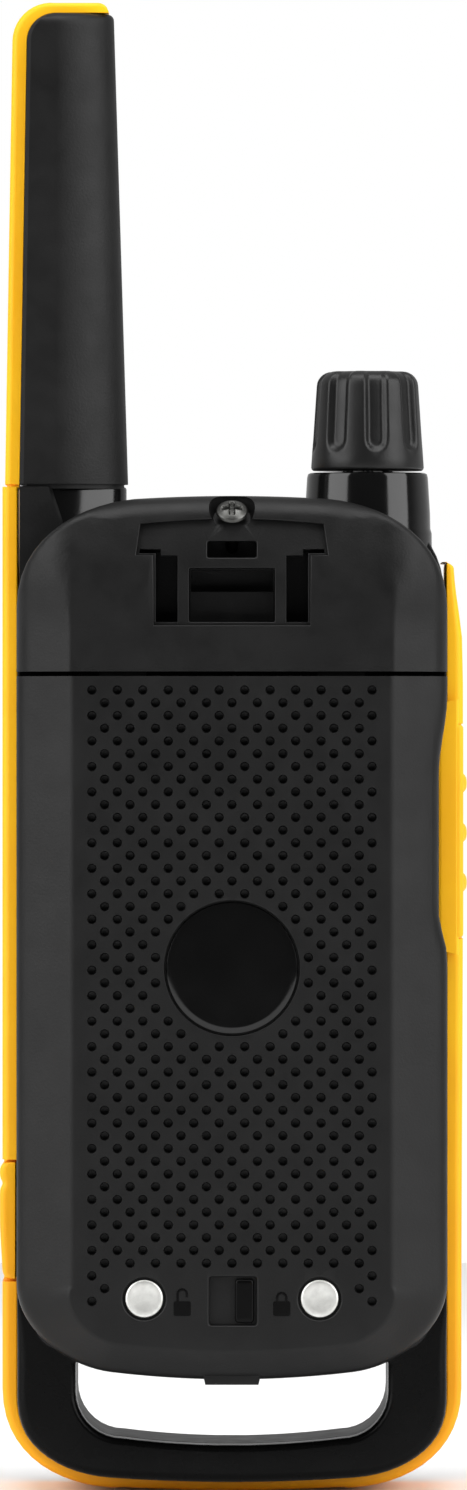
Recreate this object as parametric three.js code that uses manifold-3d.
// Hand-held two way radio, in millimetres: +Z up, -Y towards the keys, +Y towards the battery door.
// The origin is on the floor under the middle of the case.
import * as THREE from 'three';
import { mergeVertices } from 'three/addons/utils/BufferGeometryUtils.js';
import Module from 'manifold-3d';

const wasm = await Module();
wasm.setup();

// ---- overall sizes ----
const TOTAL_HEIGHT = 192;
const CASE_WIDTH = 59.2;
const CASE_DEPTH = 36.5;
const CASE_TOP = 128;
const BASE_Z = 0.9; // underside of the bumper, above the foot pad

// ---- walls and clearances ----
const GAP = 0.3; // between pieces that touch or are cut by each other
const WALL = 1.8;
const BUMPER_WALL = 2.0;
const DOOR_WALL = 1.7;
const SEAM = 0.6; // open seam between the battery door and the raised back

// ---- planes across the depth ----
const FRONT_Y = -CASE_DEPTH / 2;
const BACK_Y = CASE_DEPTH / 2;
const SPLIT_Y = 3.0; // where the front half meets the rear half
const LEDGE_Y = 8.0; // rim that the battery door closes on
const BAY_FLOOR = 1.4;
const PANEL_RECESS = 1.4; // front panel behind the bumper's front edge
const BOARD_Y = -5.0; // rear face of the circuit board
const BOARD = 1.2;

// ---- case outline ----
const HALF = CASE_WIDTH / 2;
const REAR_HALF = HALF - BUMPER_WALL;
const BOTTOM_RADIUS = 10.5;
const TRAY_CORNER = 9; // upper corners of the front panel
const SHOULDER = 13.5; // where the rear shoulder curve leaves the top edge
const FOOT_HALF = 14.6; // foot pad at its lower face
const BUMPER_END_Z = 119.7; // free end of the bumper under the knob
const FLAT_TO_SIDE = 7.2; // from the flat of the back to the side, across the facet
const FACET_DROP = 3.6;

// ---- wrist strap loop ----
const LOOP_HALF = 20.05;
const LOOP_BOTTOM = 6.1;
const LOOP_TOP = 16.4;
const LOOP_RADIUS = 6;

// ---- belt clip socket in the raised back ----
const CLIP_HALF = 12.1; // bar of the T
const CLIP_BAR = 120.4;
const CLIP_TOP = 124.9;
const STEM_HALF = 9.8; // stem of the T
const CLIP_FOOT = 111.4;
const CLIP_DEPTH = 4.5;
const RIB_X = 6.2;

// ---- battery door ----
const DOOR_TOP = 105.3;
const DOOR_BOTTOM = 14.5;
const DOOR_CORNER_Z = 26.3;
const CONTACT_X = 11.2;
const CONTACT_Z = 25.4;
const CONTACT_RADIUS = 2.4;
const TAIL_RADIUS = 1.1; // rear pin of a charging contact
const EMBLEM_Z = 67.6;
const EMBLEM_RADIUS = 8.4;
const SEAL_HALF = 25.5; // door seal, lying on the rim
const SEAL_LOW = 18.3;
const SEAL_HIGH = 104.1;
const SEAL_WIDTH = 0.8;
const LATCH_TRAVEL = 3.0;
const LATCH_X = -2.9;
const LATCH_RIDGE = 2.6;
const LATCH_LOW = 22.0;
const LATCH_HIGH = 28.2;
const STEM_LOW = 24.4; // latch stem, through the door
const STEM_HIGH = 25.8;
const BOLT_HALF = 3.9; // half height of the bolt plate behind the door
const TAB_X = 14;
const TAB_HALF = 3;
const LIP_HALF = 3.4; // pull lip at the foot of the door
const LIP_FOOT = 14.2;

// ---- battery cells ----
const CELL_RADIUS = 7.25;
const CELL_LENGTH = 50.5;
const CELL_SPACE = 0.5; // between neighbouring cells
const CELL_FOOT = 48;
const LOWER_BAY_FOOT = 21; // room below the cells for the latch and the charging pins
const SPRING_WIRE = 0.3;
const PLATE = 0.5; // thickness of a contact plate
const PLATE_HALF = 4.5;

// ---- screws ----
const SCREW_HEAD = 1.7; // head radius of the housing screws
const SCREW_ROWS = [24, 92]; // heights of the lower and upper pair
const POST_RADIUS = 2.4;
const SHANK_RADIUS = 0.85;
const TOP_SCREW_HEAD = 2.0;
const TOP_SCREW_LEAN = 0.7; // radians, from upright towards +Y
const TOP_SCREW_Y = 15.0;
const TOP_SCREW_Z = 125.6;

// ---- antenna ----
const MAST_LEFT = 13.4; // inner side at the foot
const MAST_LEFT_TIP = 15.2;
const MAST_TIP_IN = 1.0; // how far the outer side leans in over its length
const MAST_AXIS = 20.3;
const MAST_FOOT = 129.7;
const MAST_CORNER = 3.4;
const MAST_FRONT = -7.0;
const MAST_BACK = 7.0;
const BAND = 1.9;
const BAND_TOP = 1.3;
const SOCKET_FOOT = 121;
const FEED_FOOT = 109; // where the feed turns towards the board
const FEED_RADIUS = 1.2;
const CORE_RADIUS = 2.4;
const COIL_RADIUS = 3.3;
const COIL_WIRE = 0.35;
const COIL_TURNS = 8;
const BORE_RADIUS = 4.2;

// ---- knob ----
const KNOB_X = -17.5;
const KNOB_RADIUS = 7.3;
const KNOB_TIP_RADIUS = 6.4;
const KNOB_FOOT = 132.0;
const KNOB_TIP = 144.3;
const COLLAR_RADIUS = 7.9;
const COLLAR_TOP = 131.2;
const COLLAR_FOOT = 119.3;
const SHAFT_RADIUS = 1.6;
const BUSHING_RADIUS = 4.7;
const SHAFT_FOOT = 112.8;
const FLUTES = 8;
const FLUTE_TURN = -9 * Math.PI / 180; // first flute, turned from +Y
const LUGS = 6; // small feet under the knob
const LUG_RING = 2.95;

// ---- push-to-talk pad, front keys, port cover ----
const PTT_LOW = 71.3;
const PTT_HIGH = 98.7;
const PTT_TRAVEL = 1.0;
const PTT_FRONT = -8.7;
const PTT_BACK = 4.7;
const PLUNGER_Y = -3.1; // the pad's plunger and the switch it works
const PLUNGER_Z = 85;
const PLUNGER_RADIUS = 1.2;
const RIDGE_PITCH = 6.4;
const KEY_TRAVEL = 0.4;
const DOME_HEIGHT = 1.3;
const PORT_FRONT = -8.2;
const PORT_LOW = 27.0;
const PORT_HIGH = 42.6;
const USB_LOW = 34.2;
const USB_HIGH = 41.4;
const JACK_Y = -2.6;
const JACK_Z = 30.6;
const JACK_RADIUS = 2.0;
const CONNECTOR_LENGTH = 7.1;

// ---- speaker and display ----
const MICROPHONE = [8, 22]; // X and Z
const SPEAKER_SPACE = 2.5; // between the display and the speaker
const SPEAKER_RADIUS = 15.5;
const SLOT_PITCH = 3;
const SLOT_HALF = 0.7;
const DISPLAY_LOW = 62;
const DISPLAY_HIGH = 84;
const DISPLAY_HALF = 17;
const SHIELD = [-12, 12, 58, 84]; // X and Z spans of the shield can

// ---------------------------------------------------------------- helpers

function solid(geometry) {
  geometry.deleteAttribute('normal');
  geometry.deleteAttribute('uv');
  const merged = mergeVertices(geometry, 1e-4);
  return new wasm.Manifold(new wasm.Mesh({
    numProp: 3,
    vertProperties: new Float32Array(merged.attributes.position.array),
    triVerts: new Uint32Array(merged.index.array),
  }));
}

function geometryOf(manifold) {
  const mesh = manifold.getMesh();
  const geometry = new THREE.BufferGeometry();
  geometry.setAttribute('position', new THREE.BufferAttribute(mesh.vertProperties, 3));
  geometry.setIndex(new THREE.BufferAttribute(mesh.triVerts, 1));
  geometry.computeVertexNormals();
  return geometry;
}

const join = (...parts) => parts.reduce((whole, part) => whole.add(part));
const cut = (body, ...tools) => tools.reduce((left, tool) => left.subtract(tool), body);
const common = (...parts) => parts.reduce((whole, part) => whole.intersect(part));

// A block between two corners.
function block([x0, y0, z0], [x1, y1, z1]) {
  const box = new THREE.BoxGeometry(x1 - x0, y1 - y0, z1 - z0);
  return solid(box.translate((x0 + x1) / 2, (y0 + y1) / 2, (z0 + z1) / 2));
}

function extruded(shape, depth, curveSegments) {
  return new THREE.ExtrudeGeometry(shape, { depth, bevelEnabled: false, curveSegments });
}

// An outline drawn in X and Z, carried from y0 to y1.
function alongY(shape, y0, y1, segments = 4) {
  return solid(extruded(shape, y1 - y0, segments).rotateX(Math.PI / 2).translate(0, y1, 0));
}

// An outline drawn in X and Y, carried from z0 to z1.
function alongZ(shape, z0, z1, segments = 5) {
  return solid(extruded(shape, z1 - z0, segments).translate(0, 0, z0));
}

// A round bar from a to b.
function rod(a, b, radius, sides = 16, radiusB = radius) {
  const from = new THREE.Vector3(...a);
  const to = new THREE.Vector3(...b);
  const bar = new THREE.CylinderGeometry(radiusB, radius, from.distanceTo(to), sides);
  const aim = new THREE.Quaternion().setFromUnitVectors(
    new THREE.Vector3(0, 1, 0), to.clone().sub(from).normalize());
  bar.applyQuaternion(aim);
  const middle = from.add(to).multiplyScalar(0.5);
  return solid(bar.translate(middle.x, middle.y, middle.z));
}

// A turned part: [radius, height] points, axis along Z through x, y.
function turned(points, x, y, sides = 20) {
  const profile = points.map(([r, h]) => new THREE.Vector2(r, h));
  const lathe = new THREE.LatheGeometry(profile, sides);
  return solid(lathe.rotateX(Math.PI / 2).translate(x, y, 0));
}

// A closed outline through straight points.
function polygon(points) {
  return new THREE.Shape(points.map(([x, y]) => new THREE.Vector2(x, y)));
}

// A rectangle with its own corner radius at the foot and at the head.
function roundedBox(x0, x1, z0, z1, foot, head = foot) {
  const shape = new THREE.Shape();
  shape.moveTo(x0 + foot, z0);
  shape.lineTo(x1 - foot, z0);
  shape.absarc(x1 - foot, z0 + foot, foot, -Math.PI / 2, 0);
  shape.lineTo(x1, z1 - head);
  shape.absarc(x1 - head, z1 - head, head, 0, Math.PI / 2);
  shape.lineTo(x0 + head, z1);
  shape.absarc(x0 + head, z1 - head, head, Math.PI / 2, Math.PI);
  shape.lineTo(x0, z0 + foot);
  shape.absarc(x0 + foot, z0 + foot, foot, Math.PI, 1.5 * Math.PI);
  return shape;
}

// The case outline, drawn in by inset from the bumper's outer edge.
function caseOutline(inset, top) {
  const half = HALF - inset;
  return roundedBox(-half, half, BASE_Z + inset, top, BOTTOM_RADIUS - inset, 0.5);
}

// The rear shell's outline: elliptical shoulders run from the sides to the top edge.
function rearOutline(inset, foot) {
  const half = REAR_HALF - inset;
  const top = CASE_TOP - inset;
  const corner = BOTTOM_RADIUS - BUMPER_WALL - inset;
  const rise = SHOULDER - 0.6;
  const run = half - SHOULDER;
  const shape = new THREE.Shape();
  shape.moveTo(-half + corner, foot);
  shape.lineTo(half - corner, foot);
  shape.absarc(half - corner, foot + corner, corner, -Math.PI / 2, 0);
  shape.lineTo(half, top - rise);
  shape.absellipse(SHOULDER, top - rise, run, rise, 0, Math.PI / 2);
  shape.lineTo(-SHOULDER, top);
  shape.absellipse(-SHOULDER, top - rise, run, rise, Math.PI / 2, Math.PI);
  shape.lineTo(-half, foot + corner);
  shape.absarc(-half + corner, foot + corner, corner, Math.PI, 1.5 * Math.PI);
  return shape;
}

// Cross-section of the back in X and Y: a flat middle, a facet at each side, rounded into the side.
function backSection(inset, floorY) {
  const half = REAR_HALF - inset;
  const back = BACK_Y - inset;
  const flat = half - FLAT_TO_SIDE;
  const edge = half - 1.6;
  const low = back - FACET_DROP;
  const shape = new THREE.Shape();
  shape.moveTo(-half, floorY);
  shape.lineTo(half, floorY);
  shape.lineTo(half, low - 2.6);
  shape.quadraticCurveTo(half, low - 0.4, edge, low);
  shape.lineTo(flat, back);
  shape.lineTo(-flat, back);
  shape.lineTo(-edge, low);
  shape.quadraticCurveTo(-half, low - 0.4, -half, low - 2.6);
  return shape;
}

// The door's outline: straight top, corners that sweep into a shallow arc at the foot.
function doorOutline(inset, top) {
  const half = REAR_HALF - inset;
  const foot = DOOR_BOTTOM + inset;
  const shoulderX = LOOP_HALF - 4 - inset;
  const shape = new THREE.Shape();
  shape.moveTo(-half, top);
  shape.lineTo(-half, DOOR_CORNER_Z);
  shape.quadraticCurveTo(-half + 0.6, foot + 2.4, -shoulderX, foot + 1.2);
  shape.quadraticCurveTo(0, foot - 1.2, shoulderX, foot + 1.2);
  shape.quadraticCurveTo(half - 0.6, foot + 2.4, half, DOOR_CORNER_Z);
  shape.lineTo(half, top);
  return shape;
}

// A helix of round wire, radius r, from z0 to z1, around x, y.
function helix(x, y, r, z0, z1, turns, wire, stepsPerTurn = 10, tip = r) {
  class Winding extends THREE.Curve {
    getPoint(t, target = new THREE.Vector3()) {
      const angle = 2 * Math.PI * turns * t;
      const radius = r + (tip - r) * t;
      return target.set(x + radius * Math.cos(angle), y + radius * Math.sin(angle), z0 + (z1 - z0) * t);
    }
  }
  const section = new THREE.Shape();
  section.absarc(0, 0, wire, 0, 2 * Math.PI);
  return solid(new THREE.ExtrudeGeometry(section, {
    extrudePath: new Winding(), steps: turns * stepsPerTurn, curveSegments: 3, bevelEnabled: false,
  }));
}

const radio = new THREE.Group();

function piece(name, shape, color, roughness = 0.6, metalness = 0) {
  const material = new THREE.MeshStandardMaterial({ color, roughness, metalness });
  const mesh = new THREE.Mesh(geometryOf(shape), material);
  mesh.name = name;
  radio.add(mesh);
}

const BLACK = 0x2a2b2c;
const GLOSS_BLACK = 0x161719;
const YELLOW = 0xf6a81a;
const STEEL = 0xc9c9c6;
const GREEN = 0x1f5a3a;
const GREY = 0x4a4c4e;
const COPPER = 0xb87333;
const DARK = 0x1c1d1f;
const RUBBER = 0x18181a;
const NICKEL = 0xe0e0dc;
const CELL_BLUE = 0x3a6ea5;
const WINDOW = 0x0d0f12;
const LCD = 0x6f7f74;
const MESH = 0x111111;
const PAPER = 0x222222;
const FILM = 0x8d8f92;
const ZINC = 0x6a6c70;
const NATURAL = 0xd8d4c8;

// ---------------------------------------------------------------- shared cutters

const frontBack = SPLIT_Y - GAP / 2; // rear face of the front half
const rearFront = SPLIT_Y + GAP / 2; // front face of the rear half
const cellPitch = 2 * CELL_RADIUS + CELL_SPACE;
const bayHalf = cellPitch + CELL_RADIUS + 2 * GAP;
const bayFloorY = BACK_Y - DOOR_WALL - 2 * CELL_RADIUS - 2 * GAP;
const speakerZ = DISPLAY_HIGH + 1 + SPEAKER_SPACE + SPEAKER_RADIUS;
const boardFront = BOARD_Y - BOARD;
const panelFront = FRONT_Y + PANEL_RECESS;
const panelBack = panelFront + WALL;
const panelHalf = REAR_HALF - GAP;
const panelFoot = BASE_Z + BUMPER_WALL + GAP;
const cavityFoot = LOOP_TOP + WALL + GAP;
const loopShape = roundedBox(-LOOP_HALF, LOOP_HALF, LOOP_BOTTOM, LOOP_TOP, LOOP_RADIUS, 1.5);
const loopCut = alongY(loopShape, FRONT_Y - 1, BACK_Y + 1);
const collarCut = rod(
  [KNOB_X, 0, COLLAR_FOOT - GAP], [KNOB_X, 0, TOTAL_HEIGHT], COLLAR_RADIUS + GAP, 24);
const socketIn = MAST_LEFT + 0.3;
const socketOut = panelHalf;
const socketCut = block(
  [socketIn - GAP, MAST_FRONT - GAP, SOCKET_FOOT - GAP], [HALF + 1, MAST_BACK + GAP, TOTAL_HEIGHT]);
const tail = (grow, top) => block([16 - grow, -3 - grow, 110 - grow], [24 + grow, 3 + grow, top]);
const tailCut = tail(GAP, SOCKET_FOOT);
const screwX = bayHalf - SCREW_HEAD - 0.15;
const screwSpots = SCREW_ROWS.flatMap((z) => [[-screwX, z], [screwX, z]]);

// ---------------------------------------------------------------- front half

// Bumper frame: a U of yellow rubber-covered plastic round the case, one arm up to the antenna.
const pttSlot = block(
  [-HALF - 1, PTT_FRONT - GAP, PTT_LOW - GAP], [-REAR_HALF + 1, SPLIT_Y, PTT_HIGH + GAP]);
const portSlot = block(
  [REAR_HALF - 1, PORT_FRONT - GAP, PORT_LOW], [HALF + 1, SPLIT_Y, PORT_HIGH]);
const footPad = alongY(polygon([
  [-FOOT_HALF - 1.6, BASE_Z + 0.4], [-FOOT_HALF, 0], [FOOT_HALF, 0], [FOOT_HALF + 1.6, BASE_Z + 0.4],
]), FRONT_Y + 1.2, frontBack - 0.6);
const bumperRing = cut(
  alongY(caseOutline(0, MAST_FOOT - GAP), FRONT_Y, frontBack),
  alongY(caseOutline(BUMPER_WALL, TOTAL_HEIGHT), FRONT_Y - 1, BACK_Y),
  block([-HALF - 1, FRONT_Y - 1, BUMPER_END_Z], [MAST_LEFT, BACK_Y, TOTAL_HEIGHT]));
piece('front_frame', cut(join(bumperRing, footPad), pttSlot, portSlot), YELLOW, 0.55);

// Front panel: a black tray with the speaker slots, the window and the key holes.
const keys = [
  ['key_up', 0, 52.5, 5.2, 2.6],
  ['key_menu', -11, 46, 3.6, 2.8],
  ['key_call', 11, 46, 3.6, 2.8],
  ['key_down', 0, 39.5, 5.2, 2.6],
  ['key_monitor', 0, 29.5, 5.2, 2.4],
];
const keyOutline = (x, z, a, b, grow) => roundedBox(
  x - a - grow, x + a + grow, z - b - grow, z + b + grow, 1.6 + grow);
const speakerSlots = [-3, -2, -1, 0, 1, 2, 3].map((step) => {
  const rise = step * SLOT_PITCH;
  const reach = Math.sqrt((SPEAKER_RADIUS - SLOT_PITCH) ** 2 - rise ** 2);
  const z = speakerZ + rise;
  const slot = roundedBox(-reach, reach, z - SLOT_HALF, z + SLOT_HALF, SLOT_HALF - 0.01);
  return alongY(slot, FRONT_Y, panelBack + 1, 2);
});
const windowHole = roundedBox(-DISPLAY_HALF - 2, DISPLAY_HALF + 2, DISPLAY_LOW - 2, DISPLAY_HIGH + 2, 3);
const windowLedge = roundedBox(-DISPLAY_HALF, DISPLAY_HALF, DISPLAY_LOW, DISPLAY_HIGH, 1.5);
const trayTop = CASE_TOP - 0.5;
const trayOutline = roundedBox(
  -panelHalf, panelHalf, panelFoot, trayTop, BOTTOM_RADIUS - BUMPER_WALL - GAP, TRAY_CORNER);
const trayHollow = roundedBox(
  -panelHalf + WALL, panelHalf - WALL, cavityFoot, trayTop - WALL, 3, TRAY_CORNER - WALL);
const sealSlot = roundedBox(-panelHalf + 0.9, panelHalf - 0.9, cavityFoot - 0.9, CASE_TOP - 10, 3.9, 1);
const posts = screwSpots.map(([x, z]) => rod(
  [x, panelBack - 0.5, z], [x, bayFloorY - BAY_FLOOR - GAP, z], POST_RADIUS, 12));
const postHoles = screwSpots.map(([x, z]) => rod(
  [x, boardFront - 3, z], [x, SPLIT_Y, z], SHANK_RADIUS + GAP, 10));
const plungerHole = rod(
  [-HALF, PLUNGER_Y, PLUNGER_Z], [-panelHalf + WALL + 1, PLUNGER_Y, PLUNGER_Z], PLUNGER_RADIUS + 0.4, 12);
const portHole = block(
  [panelHalf - WALL - 1, BOARD_Y + 0.2, PORT_LOW + 1.2], [HALF, -0.3, PORT_HIGH - 0.8]);
const pttRecess = block(
  [-HALF, PTT_FRONT - GAP, PTT_LOW - GAP], [-panelHalf + 0.4, SPLIT_Y, PTT_HIGH + GAP]);
const [micX, micZ] = MICROPHONE;
const micHole = rod([micX, FRONT_Y, micZ], [micX, panelBack + 1, micZ], 0.8, 10);
piece('front_panel', cut(
  join(cut(alongY(trayOutline, panelFront, frontBack), alongY(trayHollow, panelBack, BACK_Y)), ...posts),
  alongY(sealSlot, frontBack - 1.2, BACK_Y),
  alongY(windowHole, FRONT_Y - 1, panelFront + 1.1),
  alongY(windowLedge, FRONT_Y - 1, panelBack + 1),
  ...keys.map(([, x, z, a, b]) => alongY(keyOutline(x, z, a, b, GAP), FRONT_Y - 1, panelBack + 1, 2)),
  ...speakerSlots, ...postHoles, loopCut, collarCut, socketCut, tailCut,
  plungerHole, portHole, pttRecess, micHole,
), BLACK, 0.6);

// Rubber cord that closes the joint between the two halves; open at the top, where the knob and antenna sit.
const sealOuter = roundedBox(-panelHalf + 1.2, panelHalf - 1.2, cavityFoot - 0.6, CASE_TOP - 20, 3.6, 1);
const sealInner = roundedBox(-panelHalf + 2.3, panelHalf - 2.3, cavityFoot + 0.5, CASE_TOP, 0.8);
piece('housing_seal', cut(
  alongY(sealOuter, frontBack - 0.9, frontBack), alongY(sealInner, FRONT_Y, BACK_Y)), RUBBER, 0.9);

// Window over the display.
const lens = roundedBox(
  -DISPLAY_HALF - 2 + GAP, DISPLAY_HALF + 2 - GAP, DISPLAY_LOW - 2 + GAP, DISPLAY_HIGH + 2 - GAP, 2.7);
piece('display_window', alongY(lens, panelFront + 0.1, panelFront + 0.8), WINDOW, 0.08);
piece('display_module', block(
  [-DISPLAY_HALF - 1, panelBack + GAP, DISPLAY_LOW - 1],
  [DISPLAY_HALF + 1, panelBack + 3.4, DISPLAY_HIGH + 1]), LCD, 0.4);

// Speaker behind the slots: mesh, frame, cone and magnet.
piece('speaker_mesh', rod(
  [0, panelBack + GAP, speakerZ], [0, panelBack + 0.7, speakerZ], SPEAKER_RADIUS - 1, 24), MESH, 0.9);
const alongDepth = (points, x, z, sides) => {
  const lathe = new THREE.LatheGeometry(points.map(([r, y]) => new THREE.Vector2(r, y)), sides);
  return solid(lathe.translate(x, 0, z));
};
const basketY = panelBack + 1.0;
piece('speaker_frame', alongDepth([
  [SPEAKER_RADIUS - 1.2, basketY], [SPEAKER_RADIUS, basketY], [SPEAKER_RADIUS, basketY + 1.4],
  [8.8, basketY + 4.4], [8.8, basketY + 3.2], [SPEAKER_RADIUS - 1.2, basketY + 0.9],
  [SPEAKER_RADIUS - 1.2, basketY],
], 0, speakerZ, 24), STEEL, 0.4, 0.8);
piece('speaker_cone', alongDepth([
  [0, basketY + 1.2], [4, basketY + 0.9], [SPEAKER_RADIUS - 1.8, basketY + 0.2],
  [SPEAKER_RADIUS - 1.8, basketY + 0.5], [4.5, basketY + 2.4], [0, basketY + 2.4],
], 0, speakerZ, 20), PAPER, 0.8);
const magnet = rod([0, basketY + 3.0, speakerZ], [0, boardFront - 0.6, speakerZ], 8.4, 20);
piece('speaker_magnet', magnet, STEEL, 0.35, 0.9);
const capsule = rod([micX, panelBack + GAP, micZ], [micX, panelBack + 2.4, micZ], 2.1, 12);
piece('microphone', capsule, STEEL, 0.4, 0.8);

// Front keys: a cap with a plunger that reaches the dome sheet.
const sheetFront = boardFront - 1.1;
const domeTop = sheetFront - DOME_HEIGHT;
for (const [name, x, z, a, b] of keys) {
  const cap = alongY(keyOutline(x, z, a, b, 0), FRONT_Y + 0.35, panelBack - 0.2, 2);
  const plunger = rod([x, panelBack - 0.6, z], [x, domeTop - KEY_TRAVEL - 0.1, z], 1.5, 10);
  piece(name, join(cap, plunger), GREY, 0.7);
}
const domeSheet = block([-16, sheetFront, 26.9], [16, boardFront - GAP, 56.5]);
const domes = keys.map(([, x, z]) => rod([x, sheetFront + 0.2, z], [x, domeTop, z], 2.2, 12, 1.4));
piece('key_domes', join(domeSheet, ...domes), FILM, 0.6);

// ---------------------------------------------------------------- electronics

const portMouth = panelHalf - 1.6; // where the connectors end inside the case wall
const portRoot = portMouth - CONNECTOR_LENGTH;
const boardHalf = panelHalf - WALL - 2.6;
const boardHoles = screwSpots.map(([x, z]) => rod(
  [x, boardFront - 1, z], [x, BOARD_Y + 1, z], POST_RADIUS + GAP, 12));
const boardBlank = block([-boardHalf, boardFront, cavityFoot + 1.6], [boardHalf, BOARD_Y, CASE_TOP - 11]);
piece('main_board', cut(boardBlank, ...boardHoles), GREEN, 0.5);
const [shieldLeft, shieldRight, shieldFoot, shieldHead] = SHIELD;
const shield = (inset, y0, y1) => block(
  [shieldLeft + inset, y0, shieldFoot + inset], [shieldRight - inset, y1, shieldHead - inset]);
piece('rf_shield', cut(shield(0, BOARD_Y + GAP, -1.4), shield(0.4, BOARD_Y, -1.8)), STEEL, 0.35, 0.9);
piece('usb_connector', cut(
  block([portRoot, BOARD_Y + GAP, USB_LOW], [portMouth, -1.6, USB_HIGH]),
  block([portRoot + 1.4, BOARD_Y + 1, USB_LOW + 0.8], [portMouth + 1, -2.3, USB_HIGH - 0.8]),
), STEEL, 0.35, 0.9);
piece('headset_jack', cut(
  rod([portRoot, JACK_Y, JACK_Z], [portMouth, JACK_Y, JACK_Z], JACK_RADIUS, 14),
  rod([portRoot + 1.4, JACK_Y, JACK_Z], [portMouth + 1, JACK_Y, JACK_Z], JACK_RADIUS - 0.8, 12)), DARK, 0.5);
const switchFace = -panelHalf + 4.5;
piece('ptt_switch', block(
  [switchFace, BOARD_Y + GAP, PLUNGER_Z - 3], [switchFace + 3, -1.5, PLUNGER_Z + 3]), DARK, 0.5);
const onKnobAxis = (z0, z1, radius, sides) => rod([KNOB_X, 0, z0], [KNOB_X, 0, z1], radius, sides);
const switchBody = block(
  [KNOB_X - 5.6, BOARD_Y + GAP, SHAFT_FOOT - 1.8], [KNOB_X + 5.6, 5.6, COLLAR_FOOT - 0.9]);
const bushing = onKnobAxis(COLLAR_FOOT - 1.3, COLLAR_FOOT + 3.7, BUSHING_RADIUS, 18);
const shaftBore = onKnobAxis(SHAFT_FOOT - 0.6, COLLAR_FOOT + 4.7, SHAFT_RADIUS + GAP, 18);
piece('volume_switch', cut(join(switchBody, bushing), shaftBore), ZINC, 0.4, 0.5);

// ---------------------------------------------------------------- rear half

const cellX = [-cellPitch, 0, cellPitch];
const cellY = bayFloorY + GAP + CELL_RADIUS;
const cellBay = block(
  [-bayHalf, bayFloorY, CELL_FOOT - 4.8], [bayHalf, BACK_Y + 1, CELL_FOOT + CELL_LENGTH + 2.2]);
const lowerBay = block([-bayHalf, bayFloorY, LOWER_BAY_FOOT], [bayHalf, BACK_Y + 1, CELL_FOOT - 6.4]);
const rearBase = alongY(rearOutline(0, BASE_Z + BUMPER_WALL - 0.8), rearFront, LEDGE_Y);
const bayOuter = bayHalf + BAY_FLOOR;
const bayBox = block(
  [-bayOuter, bayFloorY - BAY_FLOOR, LOWER_BAY_FOOT - BAY_FLOOR],
  [bayOuter, LEDGE_Y, DOOR_TOP + SEAM + WALL]);
const raised = common(
  alongZ(backSection(0, LEDGE_Y - 0.5), DOOR_TOP + SEAM, CASE_TOP), alongY(rearOutline(0, 0), 0, BACK_Y + 1));
const upperHollow = common(
  alongZ(backSection(WALL, rearFront - 1), DOOR_TOP + SEAM + WALL, CASE_TOP - WALL),
  alongY(rearOutline(WALL, 0), rearFront - 1, 11.5));
// The rim beside the bay is hollow from the front.
const sideHollow = (sign) => {
  const inner = sign * bayOuter;
  const outer = sign * (REAR_HALF - WALL);
  return block([Math.min(inner, outer), rearFront - 1, 30], [Math.max(inner, outer), LEDGE_Y - 3, DOOR_TOP]);
};
// T-shaped socket for a belt clip: shallow bar, deep stem with two ribs, small upper slot.
const clipBar = alongY(polygon([
  [-CLIP_HALF, CLIP_BAR], [CLIP_HALF, CLIP_BAR], [CLIP_HALF - 0.4, CLIP_TOP], [-CLIP_HALF + 0.4, CLIP_TOP],
]), BACK_Y - 1, BACK_Y + 1);
const clipStem = block([-STEM_HALF, BACK_Y - CLIP_DEPTH, CLIP_FOOT], [STEM_HALF, BACK_Y + 1, CLIP_BAR - 0.5]);
const clipRibs = [-1, 1].map((side) => block(
  [side * RIB_X - 0.7, BACK_Y - CLIP_DEPTH - 0.5, CLIP_FOOT - 0.6],
  [side * RIB_X + 0.7, BACK_Y - 0.8, CLIP_BAR]));
const clipStep = block(
  [0.6 - RIB_X, BACK_Y - CLIP_DEPTH - 0.5, 115.9], [RIB_X - 0.6, BACK_Y - 2.4, CLIP_BAR]);
const clipSlot = block([-3.15, BACK_Y - 3, CLIP_BAR + 0.2], [3.15, BACK_Y + 1, CLIP_BAR + 1.9]);
// Top screw: head and shank lean back out of the upper rear edge.
const lean = new THREE.Vector3(0, Math.sin(TOP_SCREW_LEAN), Math.cos(TOP_SCREW_LEAN));
const screwSeat = new THREE.Vector3(0, TOP_SCREW_Y, TOP_SCREW_Z);
const along = (distance) => screwSeat.clone().addScaledVector(lean, distance).toArray();
const screwWell = rod(along(0), along(8), TOP_SCREW_HEAD + 0.75, 16);
const screwBore = rod(along(-9), along(1), SHANK_RADIUS + GAP, 10);
const padInner = -REAR_HALF + 1.0; // inner face of the pad's rear part
const pttNotch = block(
  [-HALF, SPLIT_Y - 1, PTT_LOW - GAP], [padInner + PTT_TRAVEL + GAP, PTT_BACK + GAP, PTT_HIGH + GAP]);
const pinSpots = [-CONTACT_X, CONTACT_X];
const pinHoles = pinSpots.map((x) => rod(
  [x, -1, CONTACT_Z], [x, bayFloorY + 1, CONTACT_Z], TAIL_RADIUS - 0.1, 10));
const bayScrewHoles = screwSpots.map(([x, z]) => rod(
  [x, -1, z], [x, bayFloorY + 1, z], SHANK_RADIUS + GAP, 10));
const tabSpots = [-TAB_X, TAB_X];
const tabSlots = tabSpots.map((x) => block(
  [x - TAB_HALF - 0.4, BACK_Y - 5.0, DOOR_TOP], [x + TAB_HALF + 0.4, BACK_Y - 2.6, DOOR_TOP + SEAM + 1.4]));
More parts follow.
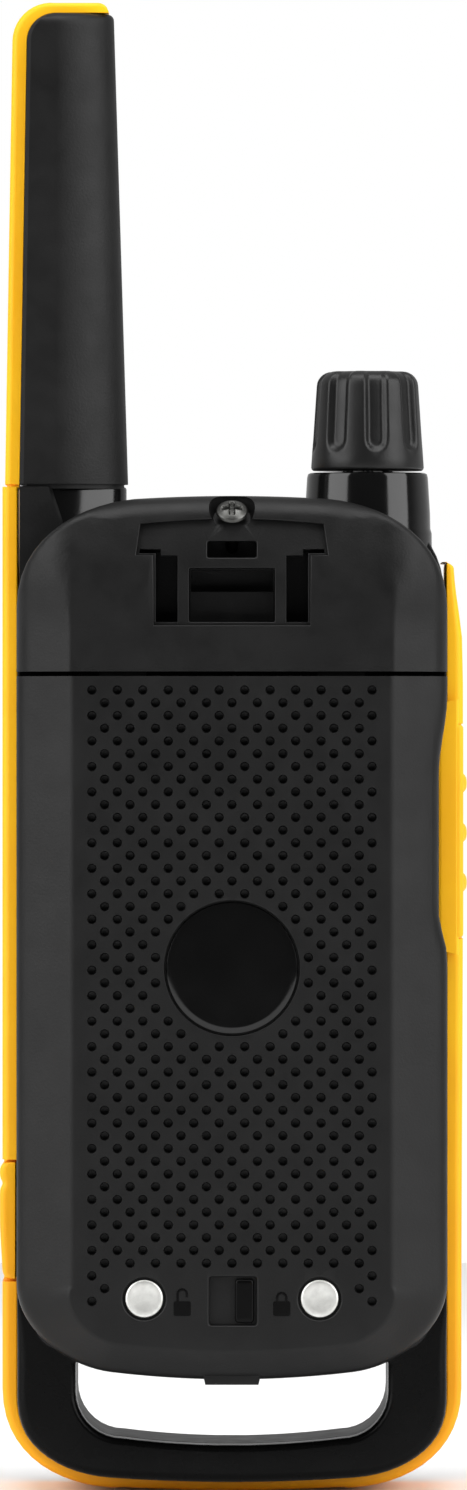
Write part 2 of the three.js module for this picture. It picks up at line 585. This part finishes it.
// A flat ring between two rounded rectangles, grow wider on both sides, for the door seal and its groove.
const doorRing = (grow, y0, y1) => cut(
  alongY(roundedBox(
    -SEAL_HALF - grow, SEAL_HALF + grow, SEAL_LOW - grow, SEAL_HIGH + grow, 4), y0, y1),
  alongY(roundedBox(
    -SEAL_HALF + SEAL_WIDTH + grow, SEAL_HALF - SEAL_WIDTH - grow,
    SEAL_LOW + SEAL_WIDTH + grow, SEAL_HIGH - SEAL_WIDTH - grow, 3), 0, BACK_Y));
const clipWeb = cut(clipStem, ...clipRibs, clipStep);
piece('rear_housing', cut(
  join(cut(join(rearBase, bayBox), sideHollow(-1), sideHollow(1)), raised),
  upperHollow, cellBay, lowerBay, loopCut, collarCut, socketCut, tailCut, clipBar, clipWeb, clipSlot,
  screwWell, screwBore, pttNotch, ...pinHoles, ...bayScrewHoles, ...tabSlots,
  doorRing(0.3, LEDGE_Y - 0.9, LEDGE_Y + 1),
), BLACK, 0.6);

piece('door_seal', doorRing(0, LEDGE_Y - 0.6, LEDGE_Y + 0.1), RUBBER, 0.9);

// Screws: pan heads with a cross recess.
function screw(name, seat, direction, headRadius, headHeight, length) {
  const at = (distance) => seat.clone().addScaledVector(direction, distance).toArray();
  const head = rod(at(0.05), at(headHeight), headRadius, 16, headRadius * 0.8);
  const shank = rod(at(0.3), at(-length), SHANK_RADIUS, 10);
  piece(name, join(head, shank), STEEL, 0.3, 0.95);
}
screw('top_screw', screwSeat, lean, TOP_SCREW_HEAD, 1.5, 8);
const outward = new THREE.Vector3(0, 1, 0);
screwSpots.forEach(([x, z], i) => {
  const seat = new THREE.Vector3(x, bayFloorY + 0.2, z);
  screw(`housing_screw_${i + 1}`, seat, outward, SCREW_HEAD, 1.0, 9);
});

// Cells side by side in the bay, the middle one turned over, with a spring and a plate each.
cellX.forEach((x, i) => {
  const up = i !== 1;
  const head = CELL_FOOT + CELL_LENGTH;
  const foot = up ? CELL_FOOT : head;
  const way = up ? 1 : -1;
  const can = rod([x, cellY, foot], [x, cellY, foot + way * (CELL_LENGTH - 1.2)], CELL_RADIUS, 24);
  const nub = rod([x, cellY, foot + way * (CELL_LENGTH - 2)], [x, cellY, foot + way * CELL_LENGTH], 2.7, 12);
  piece(`battery_cell_${i + 1}`, join(can, nub), CELL_BLUE, 0.4, 0.3);
  const plateZ = up ? head + GAP : CELL_FOOT - GAP - PLATE;
  const plate = block([x - PLATE_HALF, bayFloorY + GAP, plateZ], [x + PLATE_HALF, 14, plateZ + PLATE]);
  piece(`contact_plate_${i + 1}`, plate, STEEL, 0.3, 0.9);
  const spring = up
    ? helix(x, cellY, 4.4, CELL_FOOT - 4.2, CELL_FOOT - 0.7, 3, SPRING_WIRE, 10, 2.6)
    : helix(x, cellY, 3.6, head + 0.7, head + 1.6, 1, SPRING_WIRE, 10, 2.6);
  piece(`contact_spring_${i + 1}`, spring, STEEL, 0.3, 0.9);
});
const contactTail = BACK_Y - 3.6; // inner end of a charging contact
pinSpots.forEach((x, i) => piece(`charge_pin_${i + 1}`, join(
  rod([x, bayFloorY + GAP, CONTACT_Z], [x, 10, CONTACT_Z], 1.6, 12),
  rod([x, 9, CONTACT_Z], [x, contactTail - 0.45, CONTACT_Z], 0.9, 10)), STEEL, 0.3, 0.9));

// ---------------------------------------------------------------- antenna

const mastTop = TOTAL_HEIGHT - BAND_TOP - GAP;
const mastOutline = (growSide, growTop) => {
  const shape = new THREE.Shape();
  const foot = MAST_FOOT;
  const outFoot = REAR_HALF - GAP + growSide;
  const outTip = outFoot - MAST_TIP_IN;
  const top = mastTop + growTop;
  const corner = MAST_CORNER + growTop;
  shape.moveTo(MAST_LEFT, foot);
  shape.lineTo(outFoot, foot);
  shape.lineTo(outTip, top - corner);
  shape.quadraticCurveTo(outTip, top, outTip - corner, top);
  shape.lineTo(MAST_LEFT_TIP, top);
  return shape;
};
const onMastAxis = (z0, z1, radius, sides) => rod([MAST_AXIS, 0, z0], [MAST_AXIS, 0, z1], radius, sides);
const mastCore = onMastAxis(MAST_FOOT - 1, mastTop - 5, BORE_RADIUS, 16);
piece('antenna_sleeve', cut(alongY(mastOutline(0, 0), MAST_FRONT, MAST_BACK), mastCore), BLACK, 0.6);
piece('antenna_band', cut(
  alongY(mastOutline(BAND + GAP, BAND_TOP + GAP), MAST_FRONT, 3.0),
  alongY(mastOutline(GAP, GAP), MAST_FRONT - 1, 4),
  block([MAST_LEFT - 2, MAST_FRONT - 1, MAST_FOOT - 2], [18, 4, TOTAL_HEIGHT + 1])), YELLOW, 0.55);
piece('antenna_core', onMastAxis(MAST_FOOT + 0.6, mastTop - 6, CORE_RADIUS, 14), NATURAL, 0.6);
const coil = helix(MAST_AXIS, 0, COIL_RADIUS, MAST_FOOT + 4, mastTop - 8, COIL_TURNS, COIL_WIRE, 8);
piece('antenna_coil', coil, COPPER, 0.3, 0.9);
piece('antenna_socket', cut(join(
  block([socketIn, MAST_FRONT, SOCKET_FOOT], [socketOut, MAST_BACK, MAST_FOOT - GAP]),
  tail(0, SOCKET_FOOT + 1)), onMastAxis(FEED_FOOT, TOTAL_HEIGHT, FEED_RADIUS + 0.6, 14)), GLOSS_BLACK, 0.2);
piece('antenna_feed', join(
  onMastAxis(MAST_FOOT + 0.3, FEED_FOOT - 0.2, FEED_RADIUS, 10),
  block([MAST_AXIS - FEED_RADIUS, BOARD_Y + GAP, FEED_FOOT - 0.8],
    [MAST_AXIS + FEED_RADIUS, FEED_RADIUS, FEED_FOOT + 0.2])), COPPER, 0.3, 0.9);

// ---------------------------------------------------------------- knob

piece('knob_collar', cut(
  onKnobAxis(COLLAR_FOOT, COLLAR_TOP, COLLAR_RADIUS, 28),
  onKnobAxis(COLLAR_FOOT - 1, COLLAR_TOP - 1.6, BUSHING_RADIUS + 0.9, 20),
  onKnobAxis(COLLAR_TOP - 3, COLLAR_TOP + 1, SHAFT_RADIUS + 0.5, 18)), GLOSS_BLACK, 0.2);
const around = (count, first, radius) => [...Array(count).keys()].map((i) => {
  const angle = first + i * 2 * Math.PI / count;
  return [KNOB_X - radius * Math.sin(angle), radius * Math.cos(angle)];
});
const flutes = around(FLUTES, FLUTE_TURN, KNOB_RADIUS + 0.5).map(([x, y]) => rod(
  [x, y, KNOB_FOOT + 2.5], [x, y, KNOB_TIP + 1], 1.3, 8));
const lugs = around(LUGS, 0, LUG_RING).map(([x, y]) => rod(
  [x, y, KNOB_FOOT - 0.5], [x, y, KNOB_FOOT + 0.5], 0.65, 8));
piece('volume_knob', join(cut(turned([
  [0, KNOB_FOOT], [KNOB_RADIUS, KNOB_FOOT], [KNOB_TIP_RADIUS + 0.1, KNOB_TIP - 1],
  [KNOB_TIP_RADIUS - 0.9, KNOB_TIP], [0, KNOB_TIP]], KNOB_X, 0, 36),
onKnobAxis(KNOB_FOOT - 1, KNOB_TIP - 3, SHAFT_RADIUS + GAP, 18), ...flutes), ...lugs), BLACK, 0.6);
piece('knob_shaft', onKnobAxis(SHAFT_FOOT, KNOB_TIP - 3.4, SHAFT_RADIUS, 18), STEEL, 0.35, 0.8);

// ---------------------------------------------------------------- side controls

// Push-to-talk pad: wide pad, deeper rear part behind the split, three ridges and a plunger.
const padOut = -HALF - 0.2;
const ridges = [-1, 0, 1].map((step) => {
  const z = PLUNGER_Z - 0.2 + step * RIDGE_PITCH;
  return alongY(roundedBox(padOut - 0.4, padOut + 1, z - 1, z + 1, 0.39), -6, 2);
});
piece('ptt_button', join(
  block([padOut, PTT_FRONT, PTT_LOW], [-panelHalf + 0.4 - PTT_TRAVEL - GAP, PTT_BACK, PTT_HIGH]),
  block([padOut + 0.5, rearFront + GAP, PTT_LOW], [padInner, PTT_BACK, PTT_HIGH]),
  rod([-REAR_HALF - 1, PLUNGER_Y, PLUNGER_Z],
    [switchFace - PTT_TRAVEL - 0.2, PLUNGER_Y, PLUNGER_Z], PLUNGER_RADIUS, 12),
  ...ridges), YELLOW, 0.6);

// Port cover: rubber flap with a finger lip at its upper end, hinged at its foot.
const flap = polygon([
  [REAR_HALF + GAP, PORT_LOW + GAP], [HALF, PORT_LOW + GAP],
  [HALF + 0.35, PORT_HIGH - 1.6], [HALF + 0.3, PORT_HIGH - GAP], [REAR_HALF + GAP, PORT_HIGH - GAP]]);
piece('port_cover', alongY(flap, PORT_FRONT, frontBack), YELLOW, 0.6);

// ---------------------------------------------------------------- battery door

const doorSkin = cut(
  common(alongZ(backSection(0, LEDGE_Y + GAP), 0, DOOR_TOP), alongY(doorOutline(0, DOOR_TOP), 0, BACK_Y + 1)),
  common(
    alongZ(backSection(DOOR_WALL, 0), 0, DOOR_TOP + 1),
    alongY(doorOutline(DOOR_WALL, DOOR_TOP + 1), -1, BACK_Y + 1)));
const ridgeIn = LATCH_X + LATCH_RIDGE; // inner side of the thumb ridge
const stemIn = LATCH_X + 0.4;
const stemOut = ridgeIn - 0.6;
const boltMiddle = (STEM_LOW + STEM_HIGH) / 2;
const latchWell = block(
  [LATCH_X - GAP, BACK_Y - 1.0, LATCH_LOW], [ridgeIn + LATCH_TRAVEL + GAP, BACK_Y + 1, LATCH_HIGH]);
const latchSlot = block(
  [stemIn - GAP, BACK_Y - 3, STEM_LOW - 0.4], [stemOut + LATCH_TRAVEL + GAP, BACK_Y + 1, STEM_HIGH + 0.4]);
const throughDoor = (x, z, y0, y1, radius, sides) => rod(
  [x, BACK_Y - y0, z], [x, BACK_Y + y1, z], radius, sides);
const contactWells = pinSpots.flatMap((x) => [
  throughDoor(x, CONTACT_Z, 0.9, 1, CONTACT_RADIUS + GAP, 20),
  throughDoor(x, CONTACT_Z, 4, 1, TAIL_RADIUS + 0.4, 12)]);
const emblemWell = throughDoor(0, EMBLEM_Z, 0.9, 1, EMBLEM_RADIUS + GAP, 32);
const doorTabs = tabSpots.flatMap((x) => [
  block([x - TAB_HALF, BACK_Y - 4.4, DOOR_TOP - 3], [x + TAB_HALF, BACK_Y - 3.0, DOOR_TOP + SEAM + 0.9]),
  block([x - TAB_HALF, BACK_Y - 3.4, DOOR_TOP - 3], [x + TAB_HALF, BACK_Y - 1.2, DOOR_TOP - 1])]);
const lipRoot = [LIP_HALF + 0.45, LIP_FOOT + 1.9];
const doorLip = alongY(polygon([
  [-lipRoot[0], lipRoot[1]], [-LIP_HALF, LIP_FOOT], [LIP_HALF, LIP_FOOT], lipRoot]), BACK_Y - 6, BACK_Y - 4);
piece('battery_door', cut(
  join(doorSkin, ...doorTabs, doorLip),
  latchWell, latchSlot, ...contactWells, emblemWell), BLACK, 0.6);
pinSpots.forEach((x, i) => piece(i ? 'charge_contact_left' : 'charge_contact_right', join(
  throughDoor(x, CONTACT_Z, 0.6, -0.15, CONTACT_RADIUS, 24),
  throughDoor(x, CONTACT_Z, BACK_Y - contactTail, -0.4, TAIL_RADIUS, 12)), NICKEL, 0.25, 0.95));
piece('emblem_disc', throughDoor(0, EMBLEM_Z, 0.6, -0.05, EMBLEM_RADIUS, 32), GLOSS_BLACK, 0.15);

// Latch: a thumb ridge in its well, a stem through the slot and a bolt plate behind the door.
piece('battery_latch', join(
  block([LATCH_X, BACK_Y - 0.7, LATCH_LOW + GAP], [ridgeIn, BACK_Y - 0.15, LATCH_HIGH - GAP]),
  block([stemIn, BACK_Y - 3, STEM_LOW], [stemOut, BACK_Y - 0.4, STEM_HIGH]),
  block([stemIn - 2, BACK_Y - 3.6, boltMiddle - BOLT_HALF],
    [stemOut + 2, BACK_Y - DOOR_WALL - 0.5, boltMiddle + BOLT_HALF])), DARK, 0.4);

export default radio;
